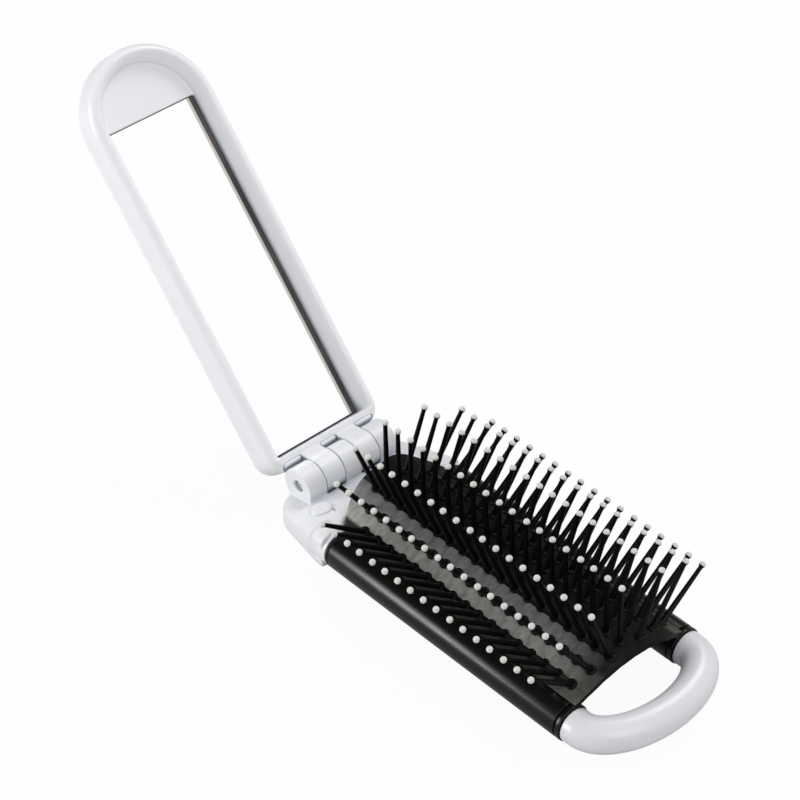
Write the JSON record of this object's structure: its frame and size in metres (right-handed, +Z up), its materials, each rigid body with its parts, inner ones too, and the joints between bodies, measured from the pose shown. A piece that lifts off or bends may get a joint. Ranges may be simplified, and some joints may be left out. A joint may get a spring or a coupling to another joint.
{
  "type": "pocket mirror comb",
  "caption": "Folding pocket hairbrush with a mirror lid, side rails that turn, an arched pad that draws its ball-tipped pins in as the lid closes, and a loop handle.",
  "frame": {"origin": "on the floor under the hinge axis, at the flat bottom of the hinge block, in the middle of its width", "axes": "+X from the hinge toward the handle, +Y to the right-hand rail, +Z up from the floor"},
  "size_m": [0.172, 0.049, 0.0812],
  "materials": {
    "white_plastic": "gloss",
    "black_plastic": "satin",
    "pad_rubber": "matt",
    "pin_plastic": "satin",
    "steel": "plain",
    "mirror": "polished",
    "black_foam": "matt"
  },
  "bodies": {
    "base": {"hinge_block": "white_plastic", "handle_loop": "white_plastic", "bristle_pad": "pad_rubber", "hinge_pin": "steel", "left_collar": "black_plastic", "right_collar": "black_plastic"},
    "left_rail": {"left_rail": "black_plastic", "left_rail_plug": "black_plastic"},
    "right_rail": {"right_rail": "black_plastic", "right_rail_plug": "black_plastic"},
    "row_a": {"bristle_row_a": "pin_plastic"},
    "row_b": {"bristle_row_b": "pin_plastic"},
    "row_c": {"bristle_row_c": "pin_plastic"},
    "row_d": {"bristle_row_d": "pin_plastic"},
    "row_e": {"bristle_row_e": "pin_plastic"},
    "row_f": {"bristle_row_f": "pin_plastic"},
    "row_g": {"bristle_row_g": "pin_plastic"},
    "lid": {"lid_frame": "white_plastic", "mirror_glass": "mirror", "mirror_tape": "black_foam"}
  },
  "joints": [
    {"name": "lid_fold", "type": "hinge", "parent": "base", "child": "lid", "pos_m": [0, 0, 0.00835], "axis": [0, 1, 0], "range_deg": [0, 131.5], "deforming": ["bristle_pad"]},
    {"name": "left_rail_turn", "type": "hinge", "parent": "base", "child": "left_rail", "pos_m": [0.05, -0.0157, 0.0041], "axis": [-1, 0, 0], "range_deg": [0, 75]},
    {"name": "right_rail_turn", "type": "hinge", "parent": "base", "child": "right_rail", "pos_m": [0.05, 0.0157, 0.0041], "axis": [1, 0, 0], "range_deg": [0, 75]},
    {"name": "row_a_turn", "type": "hinge", "parent": "base", "child": "row_a", "pos_m": [0.05, -0.02329, 0.00119], "axis": [-1, 0, 0], "range_deg": [0, 60]},
    {"name": "row_b_turn", "type": "hinge", "parent": "base", "child": "row_b", "pos_m": [0.05, -0.02958, 0.00282], "axis": [-1, 0, 0], "range_deg": [0, 40.8]},
    {"name": "row_c_turn", "type": "hinge", "parent": "base", "child": "row_c", "pos_m": [0.05, -0.0459, 0.00421], "axis": [-1, 0, 0], "range_deg": [0, 23.2]},
    {"name": "row_d_drop", "type": "slide", "parent": "base", "child": "row_d", "axis": [0, 0, -1], "range_m": [0, 0.01655]},
    {"name": "row_e_turn", "type": "hinge", "parent": "base", "child": "row_e", "pos_m": [0.05, 0.0459, 0.00421], "axis": [1, 0, 0], "range_deg": [0, 23.2]},
    {"name": "row_f_turn", "type": "hinge", "parent": "base", "child": "row_f", "pos_m": [0.05, 0.02958, 0.00282], "axis": [1, 0, 0], "range_deg": [0, 40.8]},
    {"name": "row_g_turn", "type": "hinge", "parent": "base", "child": "row_g", "pos_m": [0.05, 0.02329, 0.00119], "axis": [1, 0, 0], "range_deg": [0, 60]}
  ],
  "couplings": [
    {"joint": "left_rail_turn", "follows": "lid_fold", "ratio": 0.5703},
    {"joint": "right_rail_turn", "follows": "lid_fold", "ratio": 0.5703},
    {"joint": "row_a_turn", "follows": "lid_fold", "ratio": 0.4562},
    {"joint": "row_b_turn", "follows": "lid_fold", "ratio": 0.3102},
    {"joint": "row_c_turn", "follows": "lid_fold", "ratio": 0.1764},
    {"joint": "row_d_drop", "follows": "lid_fold", "m_per_rad": 0.00721},
    {"joint": "row_e_turn", "follows": "lid_fold", "ratio": 0.1764},
    {"joint": "row_f_turn", "follows": "lid_fold", "ratio": 0.3102},
    {"joint": "row_g_turn", "follows": "lid_fold", "ratio": 0.4562}
  ]
}
